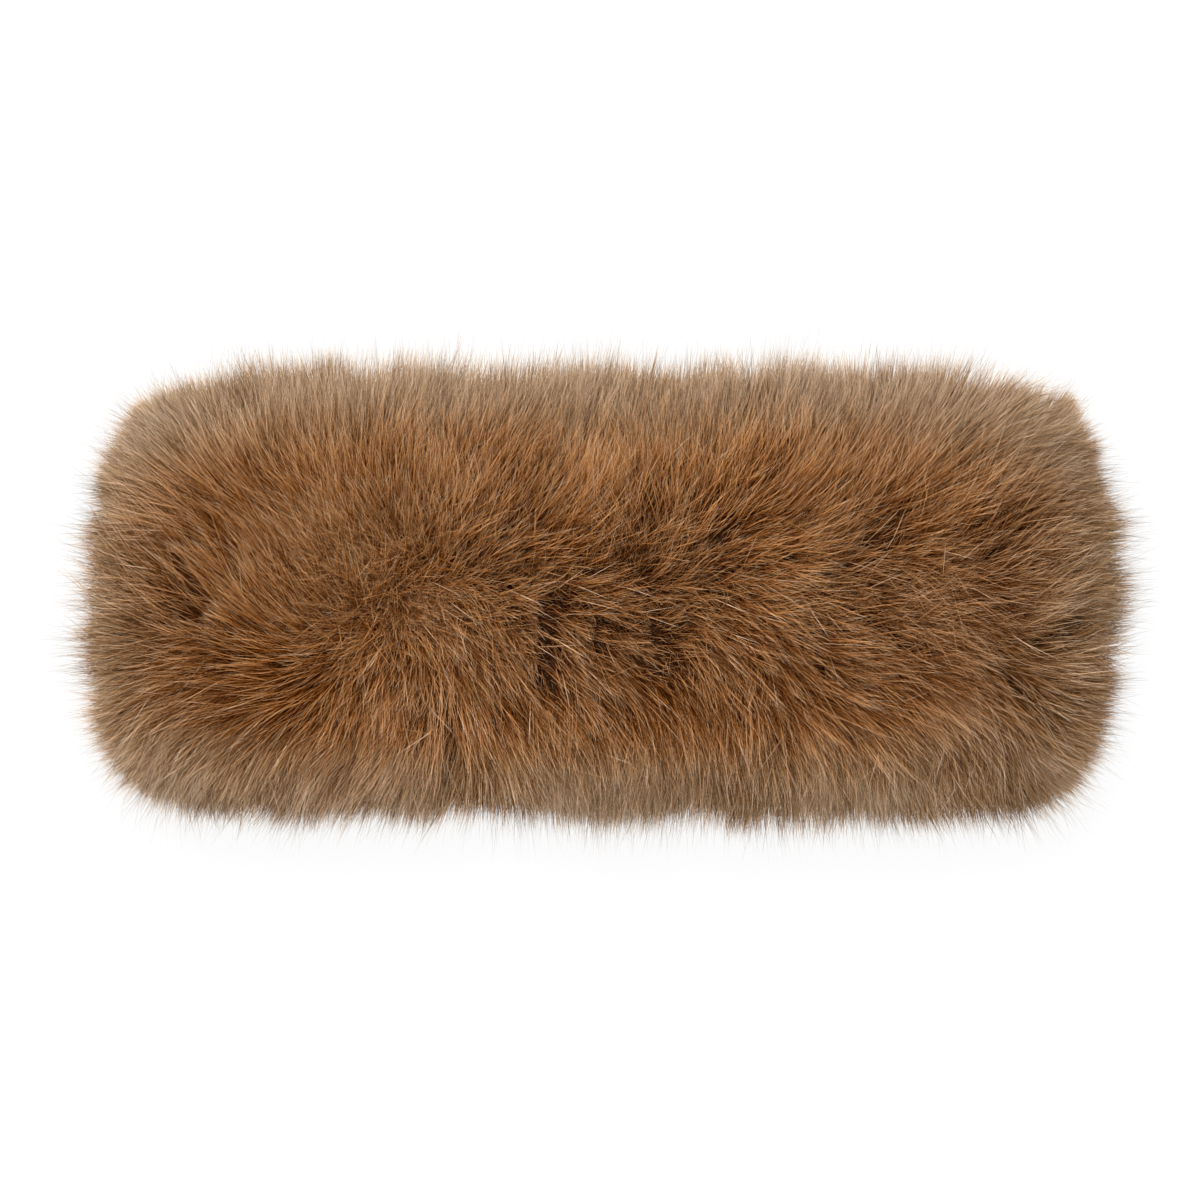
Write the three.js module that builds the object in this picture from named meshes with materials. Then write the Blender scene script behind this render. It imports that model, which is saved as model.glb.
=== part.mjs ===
// A fur head wrap: a strip of long-haired fur cloth closed to a loop, lying flat as it does on a table.
// The cloth's knitted ground is a thin wall that folds at the left and right ends. Deep fur stands on its outer
// side all the way round, and the head goes into the flat hollow inside.
//
// Units are millimetres. +Z is up, and the surface that the wrap lies on is z = 0. X runs along the wrap from
// fold to fold, and Y across it from rim to rim. The origin is under the middle of the wrap.

import * as THREE from 'three';
import { LoftGeometry } from 'three/addons/geometries/LoftGeometry.js';

// ---- driving dimensions ----

const BAND_LENGTH = 246; // the empty loop laid flat, from the outside of one fold to the outside of the other
const BAND_HEIGHT = 90; // from rim to rim, along Y
const BAND_WALL = 2.4; // the ground cloth where its edges are turned in
const FOLD_CLEARANCE = 13.8; // the clear height inside, just beside a fold
const FRONT_SAG = 2.6; // how far the upper wall sinks between the folds
const BED = 14; // the pressed fur under the lower wall
const FUR_SEAT = 0.3; // between the ground cloth and the fur's own solid

const HALF_HEIGHT = BAND_HEIGHT / 2;
const HALF_WALL = BAND_WALL / 2;
const FOLD_RADIUS = FOLD_CLEARANCE / 2 + HALF_WALL; // to the middle of the wall
const HALF_RUN = BAND_LENGTH / 2 - HALF_WALL - FOLD_RADIUS; // from the middle of a straight wall to a fold
const FOLD_ARC = Math.PI * FOLD_RADIUS;
const LOOP_LENGTH = 4 * HALF_RUN + 2 * FOLD_ARC;
const LOOP_Z = BED + FUR_SEAT + HALF_WALL + FOLD_RADIUS; // half way between the two walls

// ---- the fur round the loop ----

// Each row is a place on the loop, as a share of its length from the middle of the front towards +X.
//   depth   how far the fur stands out from the ground cloth
//   up      how far it reaches past the rim on the +Y side
//   down    how far it reaches past the rim on the -Y side
//   tip     the share of the depth at which it reaches furthest past the rims
//   square  the shape of the section: 2 is round, and more is squarer
const FUR_ROWS = [
  { share: 0.0, depth: 28.2, up: 19.6, down: 19.8, tip: 0.3, square: 2.7 }, // middle of the front
  { share: 0.1, depth: 28.4, up: 19.6, down: 20.4, tip: 0.3, square: 2.7 },
  { share: 0.19, depth: 27.0, up: 18.4, down: 18.8, tip: 0.3, square: 2.6 },
  { share: 0.225, depth: 25.0, up: 15.0, down: 16.6, tip: 0.3, square: 2.4 },
  { share: 0.25, depth: 23.0, up: 10.4, down: 11.6, tip: 0.12, square: 2.0 }, // right fold
  { share: 0.275, depth: 18.0, up: 13.6, down: 14.6, tip: 0.5, square: 2.5 },
  { share: 0.33, depth: 15.6, up: 16.0, down: 16.4, tip: 0.75, square: 3.4 },
  { share: 0.5, depth: 15.6, up: 16.4, down: 16.8, tip: 0.75, square: 3.4 }, // middle of the back
  { share: 0.67, depth: 15.6, up: 16.0, down: 16.4, tip: 0.75, square: 3.4 },
  { share: 0.725, depth: 18.0, up: 13.6, down: 14.2, tip: 0.5, square: 2.5 },
  { share: 0.75, depth: 23.0, up: 10.0, down: 11.2, tip: 0.12, square: 2.0 }, // left fold
  { share: 0.775, depth: 25.0, up: 15.2, down: 15.8, tip: 0.3, square: 2.4 },
  { share: 0.81, depth: 27.0, up: 18.6, down: 17.8, tip: 0.3, square: 2.6 },
  { share: 0.9, depth: 28.6, up: 20.4, down: 19.2, tip: 0.3, square: 2.7 },
  { share: 1.0, depth: 28.2, up: 19.6, down: 19.8, tip: 0.3, square: 2.7 },
];

// Where the fur on the front parts, or stands up in a tuft, which is a sink below zero.
const DENT_ROWS = [
  { x: -17, y: -12, radius: 13, sink: 3.2 }, // cleft beside the middle
  { x: -57, y: 3, radius: 17, sink: 2.6 }, // the point that the left half spreads from
  { x: -116, y: 2, radius: 15, sink: 3.0 }, // parting before the left fold
  { x: -41, y: -44, radius: 12, sink: 2.8 }, // gap between two locks at the lower rim
  { x: 48, y: 8, radius: 20, sink: 2.4 }, // hollow right of the middle
  { x: 78, y: -28, radius: 14, sink: 2.2 },
  { x: 108, y: 14, radius: 15, sink: 2.4 }, // parting before the right fold
  { x: 18, y: 24, radius: 18, sink: -1.4 },
  { x: -84, y: 32, radius: 20, sink: -1.2 },
  { x: 84, y: 38, radius: 18, sink: -1.0 },
];

// ---- how finely the shapes are cut ----

const WALL_STEPS = 22; // along each straight wall
const FOLD_STEPS = 12; // round each fold
const CREST_STEPS = 18; // over the fur from its +Y tip to its -Y tip
const UNDER_STEPS = 3; // from a rim out to a tip
const SEAT_STEPS = 5; // along the ground cloth, under the fur
const RIM_STEPS = 4; // round each rim of the ground cloth

// ---- the loop, seen along Y ----

// The middle of the wall at a distance round the loop from the middle of the front. `out` is the angle of the way
// out of the loop there: 90 degrees is up.
function loopAt(distance) {
  const quarter = Math.PI / 2;
  const foldStarts = [HALF_RUN, 3 * HALF_RUN + FOLD_ARC];
  const foldEnds = foldStarts.map((start) => start + FOLD_ARC);

  if (distance <= foldStarts[0] || distance >= foldEnds[1]) {
    const x = distance <= foldStarts[0] ? distance : distance - LOOP_LENGTH;
    const bow = Math.cos((quarter * x) / HALF_RUN);
    return { x, z: LOOP_Z + FOLD_RADIUS - FRONT_SAG * bow * bow, out: quarter };
  }
  if (distance >= foldEnds[0] && distance <= foldStarts[1]) {
    return { x: 2 * HALF_RUN + FOLD_ARC - distance, z: LOOP_Z - FOLD_RADIUS, out: -quarter };
  }
  const right = distance < foldEnds[0];
  const turned = (distance - foldStarts[right ? 0 : 1]) / FOLD_RADIUS;
  const out = (right ? quarter : -quarter) - turned;
  const foldX = right ? HALF_RUN : -HALF_RUN;
  return { x: foldX + FOLD_RADIUS * Math.cos(out), z: LOOP_Z + FOLD_RADIUS * Math.sin(out), out };
}

// The distances round the loop at which sections are taken, starting at the middle of the front.
function sectionDistances() {
  const stretches = [
    { length: HALF_RUN, steps: WALL_STEPS / 2 },
    { length: FOLD_ARC, steps: FOLD_STEPS },
    { length: 2 * HALF_RUN, steps: WALL_STEPS },
    { length: FOLD_ARC, steps: FOLD_STEPS },
    { length: HALF_RUN, steps: WALL_STEPS / 2 },
  ];
  const distances = [];
  let start = 0;
  for (const { length, steps } of stretches) {
    for (let i = 0; i < steps; i++) distances.push(start + (length * i) / steps);
    start += length;
  }
  return distances;
}

// ---- the two sections: points of y, and of `off`, the way out from the middle of the wall ----

// A thin bar with round rims.
function bandSection() {
  const points = [];
  for (const side of [1, -1]) {
    for (let i = 0; i <= RIM_STEPS; i++) {
      const angle = (Math.PI * i) / RIM_STEPS - Math.PI / 2;
      const y = HALF_HEIGHT - HALF_WALL + HALF_WALL * Math.cos(angle);
      points.push({ y: side * y, off: side * HALF_WALL * Math.sin(angle) });
    }
  }
  return points;
}

// The fur's measures at a share of the loop, eased from row to row.
function furAt(share) {
  const next = Math.max(1, FUR_ROWS.findIndex((row) => row.share >= share));
  const [before, after] = [FUR_ROWS[next - 1], FUR_ROWS[next]];
  const t = THREE.MathUtils.smoothstep(share, before.share, after.share);
  const eased = (key) => THREE.MathUtils.lerp(before[key], after[key], t);
  return {
    depth: eased('depth'),
    up: eased('up'),
    down: eased('down'),
    tip: eased('tip'),
    square: eased('square'),
  };
}

// A flat side on the ground cloth, a round underside out to each tip, and a squarish crest over the top.
function furSection({ depth, up, down, tip, square }) {
  const seat = HALF_WALL + FUR_SEAT;
  const tipOff = seat + tip * depth;
  const points = [];

  const underside = (side, reach, i) => {
    const angle = (Math.PI / 2) * (i / UNDER_STEPS);
    const y = HALF_HEIGHT + reach * Math.sin(angle);
    points.push({ y: side * y, off: seat + (tipOff - seat) * (1 - Math.cos(angle)) });
  };

  for (let i = 0; i < UNDER_STEPS; i++) underside(1, up, i);
  for (let i = 0; i <= CREST_STEPS; i++) {
    const angle = (Math.PI * i) / CREST_STEPS;
    const wide = HALF_HEIGHT + (angle < Math.PI / 2 ? up : down);
    const y = Math.sign(Math.cos(angle)) * wide * Math.abs(Math.cos(angle)) ** (2 / square);
    points.push({ y, off: tipOff + depth * (1 - tip) * Math.sin(angle) ** (2 / square) });
  }
  for (let i = UNDER_STEPS - 1; i >= 0; i--) underside(-1, down, i);
  for (let i = 1; i < SEAT_STEPS; i++) {
    points.push({ y: HALF_HEIGHT * ((2 * i) / SEAT_STEPS - 1), off: seat });
  }
  return points;
}

// ---- sections set round the loop ----

// How far the front's surface sinks at a place, from all the dents near it.
function sinkAt(x, y) {
  return DENT_ROWS.reduce((sum, dent) => {
    const near = ((x - dent.x) ** 2 + (y - dent.y) ** 2) / dent.radius ** 2;
    return sum + dent.sink * Math.exp(-near);
  }, 0);
}

function placeOnLoop(spot, { y, off }) {
  return new THREE.Vector3(spot.x + off * Math.cos(spot.out), y, spot.z + off * Math.sin(spot.out));
}

// A point of the fur sinks into a dent by as much as it is near the crest, and rests on the surface below.
function placeFur(spot, point, depth) {
  const seat = HALF_WALL + FUR_SEAT;
  const facesUp = Math.max(0, Math.sin(spot.out));
  const crest = (point.off - seat) / depth;
  const off = point.off - sinkAt(spot.x, point.y) * facesUp * crest;
  const placed = placeOnLoop(spot, { y: point.y, off });
  placed.z = Math.max(0, placed.z);
  return placed;
}

// The first section comes again at the end, which closes the loop.
function ringOf(name, sectionAt, material) {
  const sections = sectionDistances().map(sectionAt);
  sections.push(sections[0]);
  const geometry = new LoftGeometry(sections, { closed: true, capStart: false, capEnd: false });
  const mesh = new THREE.Mesh(geometry, material);
  mesh.name = name;
  return mesh;
}

// ---- the two pieces ----

function backingBand() {
  const section = bandSection();
  const material = new THREE.MeshStandardMaterial({ color: 0x7c5f49, roughness: 0.92, metalness: 0 });
  return ringOf('backing_band', (d) => section.map((point) => placeOnLoop(loopAt(d), point)), material);
}

function furPile() {
  const material = new THREE.MeshStandardMaterial({ color: 0x7d5739, roughness: 0.85, metalness: 0 });
  const sectionAt = (distance) => {
    const spot = loopAt(distance);
    const fur = furAt(distance / LOOP_LENGTH);
    return furSection(fur).map((point) => placeFur(spot, point, fur.depth));
  };
  return ringOf('fur_pile', sectionAt, material);
}

const headWrap = new THREE.Group();
headWrap.add(backingBand(), furPile());

export default headWrap;
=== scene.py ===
# %% [markdown]
# # A fur head wrap
#
# The real thing is a strip of long-haired fur cloth, closed to a loop and laid flat on a table. Two things
# make it: a knitted ground cloth, which folds at its two ends, and the fur that stands on the cloth's outer
# side. The CAD model holds their outer forms. This lesson builds the cloth as a sheet, and the fur hair by
# hair.
#
# Blender can grow hair by itself, as curves. Here every hair is worked out with numpy instead, because its
# length has to follow the CAD's form and its lie a table, and because any program can read plain meshes.
#
# Sizes are written in millimetres and multiplied by MM, because Blender works in metres.

# %% Start from the CAD frame
import math

import bmesh
import bpy
import numpy as np
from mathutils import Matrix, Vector
from mathutils.bvhtree import BVHTree


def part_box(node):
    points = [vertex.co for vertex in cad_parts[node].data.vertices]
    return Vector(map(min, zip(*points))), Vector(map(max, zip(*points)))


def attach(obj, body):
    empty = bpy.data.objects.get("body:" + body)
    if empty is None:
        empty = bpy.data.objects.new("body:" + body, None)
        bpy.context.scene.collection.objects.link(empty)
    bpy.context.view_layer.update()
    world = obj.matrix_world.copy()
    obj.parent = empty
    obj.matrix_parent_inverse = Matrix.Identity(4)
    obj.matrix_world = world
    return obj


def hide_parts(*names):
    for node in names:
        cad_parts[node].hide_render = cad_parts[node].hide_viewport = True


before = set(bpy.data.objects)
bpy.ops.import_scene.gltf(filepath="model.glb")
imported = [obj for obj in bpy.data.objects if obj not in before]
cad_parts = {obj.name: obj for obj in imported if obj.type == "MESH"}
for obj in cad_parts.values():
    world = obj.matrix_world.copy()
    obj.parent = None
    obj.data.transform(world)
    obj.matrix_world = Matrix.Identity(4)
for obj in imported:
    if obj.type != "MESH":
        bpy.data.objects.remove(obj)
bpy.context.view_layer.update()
MM = 0.001
band_low, band_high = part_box("backing_band")

# %% [markdown]
# ## The camera
#
# The wrap is looked at from straight above, so the camera points down and +Y is the top of the view. A
# short lens near by would show the top of the fur larger than its edges, so this is a long lens far away.

# %% Camera
CAMERA_HEIGHT = 1.5
SENSOR_WIDTH = 36.0  # Blender takes this and the lens in millimetres
VIEW_WIDTH = 0.3275  # what the view spans at the height where the wrap is widest
WIDEST_Z = 32 * MM
AIM = (-1.0 * MM, -1.2 * MM)


def make_camera():
    data = bpy.data.cameras.new("camera")
    data.sensor_width = SENSOR_WIDTH
    data.lens = SENSOR_WIDTH * (CAMERA_HEIGHT - WIDEST_Z) / VIEW_WIDTH
    camera = bpy.data.objects.new("camera", data)
    camera.location = (*AIM, CAMERA_HEIGHT)
    bpy.context.scene.collection.objects.link(camera)
    bpy.context.scene.camera = camera
    return camera


camera = make_camera()
print("lens", round(camera.data.lens), "mm")

# %% [markdown]
# ## The loop as a map
#
# Cloth is easiest to think of flat. Every point of the strip has two numbers: `s`, how far it lies along
# the loop from the middle of the front, and `y`, how far across. One function folds such points into the
# loop, and also says which way is out. It takes whole arrays, because the fur asks it for a hundred
# thousand roots.

# %% Fold the flat strip into the loop
WALL = 2.4 * MM
FRONT_SAG = 2.6 * MM  # how far the upper wall sinks between the folds
HALF_HEIGHT = band_high.y
FOLD_RADIUS = (band_high.z - band_low.z - WALL) / 2
HALF_RUN = band_high.x - WALL / 2 - FOLD_RADIUS
FOLD_ARC = math.pi * FOLD_RADIUS
LOOP_LENGTH = 4 * HALF_RUN + 2 * FOLD_ARC
LOOP_Z = (band_low.z + band_high.z) / 2
RIM_ROUND = 5 * MM  # over this last width the way out turns towards the rim
RIM_TURN = math.radians(62)


def on_loop(s, y):
    """The middle of the wall at (s, y), and the way out of the loop there."""
    side = np.where(s < 0, -1.0, 1.0)
    a = np.abs(s)
    turned = np.clip((a - HALF_RUN) / FOLD_RADIUS, 0, math.pi)
    out = math.pi / 2 - turned
    run = np.where(a < HALF_RUN, a, HALF_RUN - np.maximum(0, a - HALF_RUN - FOLD_ARC))
    x = side * (run + FOLD_RADIUS * np.cos(out))
    bow = np.cos(np.clip(a / HALF_RUN, 0, 1) * math.pi / 2)
    z = LOOP_Z + FOLD_RADIUS * np.sin(out) - FRONT_SAG * bow**2
    place = np.stack([x, y, z], axis=-1)
    way = np.stack([side * np.cos(out), np.zeros_like(out), np.sin(out)], axis=-1)
    return place, way


def on_rimmed_loop(s, y):
    """The same, with the way out turned towards the rim near it, as fur at an edge points."""
    place, way = on_loop(s, y)
    near = np.clip((np.abs(y) - HALF_HEIGHT + RIM_ROUND) / RIM_ROUND, 0, 1)
    tilt = near * RIM_TURN
    way = way * np.cos(tilt)[..., None]
    way[..., 1] += np.sign(y) * np.sin(tilt)
    return place, way


print("loop", round(LOOP_LENGTH / MM, 1), "mm round")

# %% [markdown]
# ## How far the fur may reach
#
# The CAD solid of the fur is its dense outer form. A ray from a root, in the way that a hair leans, leaves
# that solid where the hair should end, so the hairs fill the form without any table of lengths. Real tips
# outrun the dense form a little, and here they outrun it most towards the left and the top.

# %% Rays to the outer form
pile_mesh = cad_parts["fur_pile"].data
outer_form = BVHTree.FromPolygons(
    [v.co.copy() for v in pile_mesh.vertices], [tuple(p.vertices) for p in pile_mesh.polygons]
)
SHORTEST = 13 * MM
LONGEST = 42 * MM
RAY_LENGTH = 0.2
PAST_SEAT = 3.2 * MM  # a ray starts this far out, past the side of the solid that faces the cloth

# How far the hairs outrun the solid, in mm, and what a way towards each side adds to it.
OUTRUN = 2.4
OUTRUN_UP = 1.0  # and as much less downwards
OUTRUN_RIGHT = 0.5
OUTRUN_LEFT = 1.6
OUTRUN_LOWER_RIGHT = 0.6

# Seen from above the wrap has round corners. These are their radius and the places of their middles.
CORNER_RADIUS = 39.4 * MM
CORNERS_APART = 105.8 * MM
CORNERS_ACROSS = 22.6 * MM
CORNERS_AROUND = np.array([0.3, -1.6, 0]) * MM


def reach_from(place, way, lean_way):
    """How far a hair may grow from each place until it meets the outer form."""
    start = place + way * PAST_SEAT
    found = np.empty(len(place))
    for i in range(len(place)):
        hit = outer_form.ray_cast(Vector(start[i]), Vector(lean_way[i]), RAY_LENGTH)
        found[i] = hit[3] if hit[0] is not None else 0.0
    dx, dy = lean_way[:, 0], lean_way[:, 1]
    lower_right = np.clip(place[:, 0] / (70 * MM), -0.4, 1) * (dy < 0)
    margin = OUTRUN + OUTRUN_UP * dy + np.where(dx > 0, OUTRUN_RIGHT, OUTRUN_LEFT) * np.abs(dx)
    reach = found + (margin + OUTRUN_LOWER_RIGHT * lower_right) * MM
    tip = np.abs(start + lean_way * reach[:, None] - CORNERS_AROUND)
    past = np.hypot(np.maximum(tip[:, 0] - CORNERS_APART, 0), np.maximum(tip[:, 1] - CORNERS_ACROSS, 0))
    in_corner = (tip[:, 0] > CORNERS_APART) & (tip[:, 1] > CORNERS_ACROSS)
    reach -= np.where(in_corner, np.maximum(past - CORNER_RADIUS, 0), 0)
    return np.clip(reach, SHORTEST, LONGEST)


print("outer form", len(pile_mesh.polygons), "faces")

# %% [markdown]
# ## The lie of the fur
#
# Fur looks like fur because neighbours agree. On this wrap the hairs part at a point left of the middle,
# run to the right along the middle, and fan out to the rims and folds. A fur artist would comb hair curves
# by hand. A table is easier to correct: it gives headings in degrees, 0 towards +X and 90 towards +Y, and a
# function blends between its rows and columns.
#
# These headings weren't chosen by eye. Most were measured by a separate program and typed in, and then
# corrected by the differences that it measured. Headings chosen by hand could take their place.

# %% Heading table
LIE_Y = [58, 40, 24, 12, 2, -10, -24, -40, -58]
LIE_ROWS = [
    # x, and the headings at y = 58, 40, 24, 12, 2, -10, -24, -40 and -58
    (-138, (145, 153, 165, 180, 176, 178, 188, 210, 218)),
    (-114, (110, 134, 143, 130, 142, 166, 218, 246, 253)),
    (-90, (103, 88, 136, 124, 106, 130, 192, 248, 247)),
    (-66, (88, 91, 108, 140, 125, 175, 262, 244, 237)),
    (-54, (83, 79, 84, 105, -62, -47, -97, -104, -113)),
    (-42, (84, 79, 92, 95, -28, -52, -95, -101, -114)),
    (-30, (82, 71, 80, 46, 2, -30, -67, -68, -94)),
    (-18, (77, 67, 50, 4, 6, -36, -57, -68, -88)),
    (-6, (80, 77, 86, 58, -6, -52, -52, -77, -83)),
    (6, (79, 93, 88, 86, -5, -22, -45, -97, -102)),
    (18, (86, 82, 78, 72, 16, 6, -66, -93, -98)),
    (30, (86, 82, 62, 22, -4, -27, -81, -82, -98)),
    (42, (82, 75, 40, -10, -28, -25, -68, -78, -89)),
    (54, (81, 78, 64, 12, -14, -11, -48, -71, -90)),
    (66, (88, 75, 47, 17, 2, -7, -12, -76, -86)),
    (78, (87, 62, 41, 18, -2, 2, -21, -96, -72)),
    (102, (75, 40, 46, 34, -5, -15, -51, -74, -67)),
    (126, (80, 24, 12, 17, 13, 20, -8, -34, -46)),
]


def blend_table(x, y, xs, ys, values):
    """Values of a table at places between its rows and columns."""
    i = np.clip(np.searchsorted(xs, x) - 1, 0, len(xs) - 2)
    j = np.clip(np.searchsorted(ys, y) - 1, 0, len(ys) - 2)
    u = np.clip((x - xs[i]) / (xs[i + 1] - xs[i]), 0, 1)
    v = np.clip((y - ys[j]) / (ys[j + 1] - ys[j]), 0, 1)
    u, v = u * u * (3 - 2 * u), v * v * (3 - 2 * v)
    low = values[i, j] * (1 - u) + values[i + 1, j] * u
    high = values[i, j + 1] * (1 - u) + values[i + 1, j + 1] * u
    return low * (1 - v) + high * v


lie_xs = np.array([row[0] for row in LIE_ROWS]) * MM
lie_ys = np.array(LIE_Y[::-1]) * MM
headings = np.radians(np.array([row[1][::-1] for row in LIE_ROWS], dtype=float))


def heading_at(x, y):
    """The lie at a place. East and north are blended apart, so that no heading jumps from 359 to 0."""
    east = blend_table(x, y, lie_xs, lie_ys, np.cos(headings))
    north = blend_table(x, y, lie_xs, lie_ys, np.sin(headings))
    return np.arctan2(north, east)


print("lie table", len(LIE_ROWS), "by", len(LIE_Y))

# %% [markdown]
# ## Soft noise
#
# Nothing in real fur is quite even, yet nothing in it jumps: leans, lengths and shades drift over a few
# millimetres. Blender's own noise takes one point at a time, which is slow for all these hairs. A sum of
# sine waves with random headings takes whole arrays, and its seed makes it come out the same each time.

# %% Soft noise over the wrap
NOISE_WAVES = 7
WAVE_SPREAD = (1.3, 3.2)  # the shortest and longest wave, in bumps
WAVE_SUM = 3.2  # brings the sum of the waves back to about -1 to 1


def soft_noise(x, y, size, seed):
    """A smooth field of about -1 to 1 whose bumps are `size` across."""
    rng = np.random.default_rng(seed)
    total = np.zeros_like(x)
    for _ in range(NOISE_WAVES):
        turn = rng.uniform(0, 2 * math.pi)
        wave = 2 * math.pi / (size * rng.uniform(*WAVE_SPREAD))
        total += np.sin(wave * (x * math.cos(turn) + y * math.sin(turn)) + rng.uniform(0, 2 * math.pi))
    return total / WAVE_SUM


def ramped(value, start, width):
    """0 up to the start, rising evenly over the width, and 1 from there on."""
    return np.clip((value - start) / width, 0, 1)


sample_xs = np.linspace(-0.15, 0.15, 2000)
print("noise spreads by", round(float(soft_noise(sample_xs, 0 * sample_xs, 5 * MM, 1).std()), 2))

# %% [markdown]
# ## The parting
#
# Hairs that fan out from a line leave it thin, so near the parting they stand up and cross each other. One
# measure, the distance from the parting, sets how far every hair leans and how much it strays.

# %% The parting
PARTING = (-59 * MM, 84 * MM)  # its two ends along X, at y = 0. The hairs whorl round the first.
LEAN_REACH = 34 * MM  # from here out the hairs lie down fully
RUFFLE_REACH = 17 * MM
WHORL_REACH = 14 * MM


def from_parting(x, y):
    """The distances from the parting's line, and from the point where it starts."""
    nearest = np.clip(x, PARTING[0], PARTING[1])
    along = np.hypot(x - nearest, y)
    start = np.hypot(x - PARTING[0], y)
    return along, start


def ruffled_at(x, y):
    """1 on the parting, where the hairs cross, and 0 away from it."""
    along, _ = from_parting(x, y)
    return np.exp(-((along / RUFFLE_REACH) ** 2))


print("parting", round((PARTING[1] - PARTING[0]) / MM), "mm long")

# %% [markdown]
# ## One hair
#
# A hair leaves the cloth a little way out, and bends over into the lie as it grows. At each step it asks
# for the heading at the place it has reached, so a long hair bends along with the lie, as real ones do when
# they are brushed. Three steps are enough for an even bend. More would only add triangles.

# %% Paths of hairs
STEPS = np.array([0.0, 0.3, 0.66, 1.0])
STEP_MIDDLES = (STEPS[1:] + STEPS[:-1]) / 2
STEP_LENGTHS = np.diff(STEPS)
DROOP = 0.25  # how much a hair on top bends down towards its tip
SIDE_DROOP = 0.7  # and how much more where the cloth stands upright
ROOT_LEAN = 0.55  # the share of its lean that a hair has at its root, and what it gains towards the tip
LEAN_GAIN = 0.8
BEND_PIVOT = 0.3  # a hair's own bend turns it one way before this share of it, and the other way after
SWAY = math.radians(3)
RUFFLED_SWAY = math.radians(6)
FLOOR_GAP = 0.4 * MM
MOST_TURN = math.radians(8)  # in one step
AHEAD = 8 * MM  # a hair takes its first heading from this far before its root


def turned_towards(heading, goal, most):
    left = (goal - heading + math.pi) % (2 * math.pi) - math.pi
    return heading + np.clip(left, -most, most)


def grow(place, way, lean, length, turn, bend, most_turn=MOST_TURN):
    """Paths of hairs from their roots, which lean over more and more as they follow the lie."""
    points = [place]
    x, y = place[:, 0], place[:, 1]
    first = heading_at(x, y)
    lie_heading = heading_at(x + AHEAD * np.cos(first), y + AHEAD * np.sin(first))
    sway = SWAY + RUFFLED_SWAY * ruffled_at(x, y)
    turn = turn + sway * soft_noise(x, y, 15 * MM, 3)
    droop = DROOP + SIDE_DROOP * (1 - np.abs(way[:, 2]))
    for middle, share in zip(STEP_MIDDLES, STEP_LENGTHS):
        at = points[-1]
        lie_heading = turned_towards(lie_heading, heading_at(at[:, 0], at[:, 1]), most_turn)
        heading = lie_heading + turn + bend * (middle - BEND_PIVOT)
        angle = lean * (ROOT_LEAN + LEAN_GAIN * middle)
        lie = np.stack([np.cos(heading), np.sin(heading), -droop * middle], axis=-1)
        step = way * np.cos(angle)[:, None] + lie * np.sin(angle)[:, None]
        step /= np.linalg.norm(step, axis=1, keepdims=True)
        points.append(at + step * (length * share)[:, None])
    return np.stack(points, axis=1)


def point_along(paths, share):
    """The points of each path at the given shares of its length, which may differ from hair to hair."""
    i = np.clip(np.searchsorted(STEPS, share.ravel()) - 1, 0, len(STEPS) - 2).reshape(share.shape)
    t = ((share - STEPS[i]) / STEP_LENGTHS[i])[..., None]
    rows = np.arange(len(paths))[:, None]
    return paths[rows, i] * (1 - t) + paths[rows, i + 1] * t


print("points in a hair", len(STEPS))

# %% [markdown]
# ## Clefts
#
# Where two locks lie apart, the fur opens and its dark depth shows. A cleft could be a dent in the form,
# but then it would fill up with hairs again. So each row is a short line on the front, and every hair that
# would cross it ends just before it. The edge of a real gap is ragged, so the width of the line wavers. The
# hairs that a cleft cuts short are also painted darker later on, as painted shade in the cleft.

# %% Clefts between locks
CLEFT_ROWS = [
    # x and y of one end, x and y of the other, half the width, and the share of a hair that stays at least
    (-15, -3, -16.5, -24, 1.5, 0.52),
    (-41, -38, -40, -47, 1.3, 0.62),
    (-56, -12, -52, -14, 0.9, 0.65),
    (-48, -9, -46, -16, 0.8, 0.65),
    (-1, -6, -2, -15, 0.7, 0.65),
    (13, -6, 16, -21, 0.6, 0.68),
    (29, 15, 42, 17, 0.7, 0.68),
    (72, -7, 82, -14, 0.8, 0.68),
    (58, -19, 61, -22, 0.9, 0.65),
    (109, -22, 113, -30, 0.8, 0.7),
    (112, 18, 104, 10, 0.9, 0.7),
    (116, -14, 126, -7, 1.2, 0.72),
    (-115, 9, -108, 0, 1.3, 0.58),
    (-108, 0, -111, -7, 1.2, 0.58),
    (-99, 6, -96, 1, 0.9, 0.65),
    (68, 15, 76, 13, 0.8, 0.68),
]
CLEFT_TESTS = np.linspace(0.25, 1.0, 11)  # the shares of a hair that are looked at
ENDS_BEFORE = 0.06  # the share of its length by which a hair ends before a cleft
WAVER = 0.4  # of a cleft's width


def clear_share(paths):
    """The share of each path that stays clear of every cleft."""
    share = np.broadcast_to(CLEFT_TESTS, (len(paths), len(CLEFT_TESTS)))
    x, y, z = np.moveaxis(point_along(paths, share), -1, 0)
    kept = np.ones(len(paths))
    for *line, shortest in CLEFT_ROWS:
        x0, y0, x1, y1, half = np.array(line) * MM
        along = ((x - x0) * (x1 - x0) + (y - y0) * (y1 - y0)) / ((x1 - x0) ** 2 + (y1 - y0) ** 2)
        along = np.clip(along, 0, 1)
        away = np.hypot(x - x0 - along * (x1 - x0), y - y0 - along * (y1 - y0))
        wide = half * (1 + WAVER * soft_noise(x, y, 3 * MM, 8) + WAVER * soft_noise(x, y, 0.8 * MM, 12))
        blocked = (away < wide) & (z > LOOP_Z)
        entered = np.where(blocked.any(axis=1), CLEFT_TESTS[blocked.argmax(axis=1)] - ENDS_BEFORE, 1.0)
        kept = np.minimum(kept, np.where(entered < 1, np.maximum(entered, shortest), 1.0))
    return kept


print("clefts", len(CLEFT_ROWS))

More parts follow.
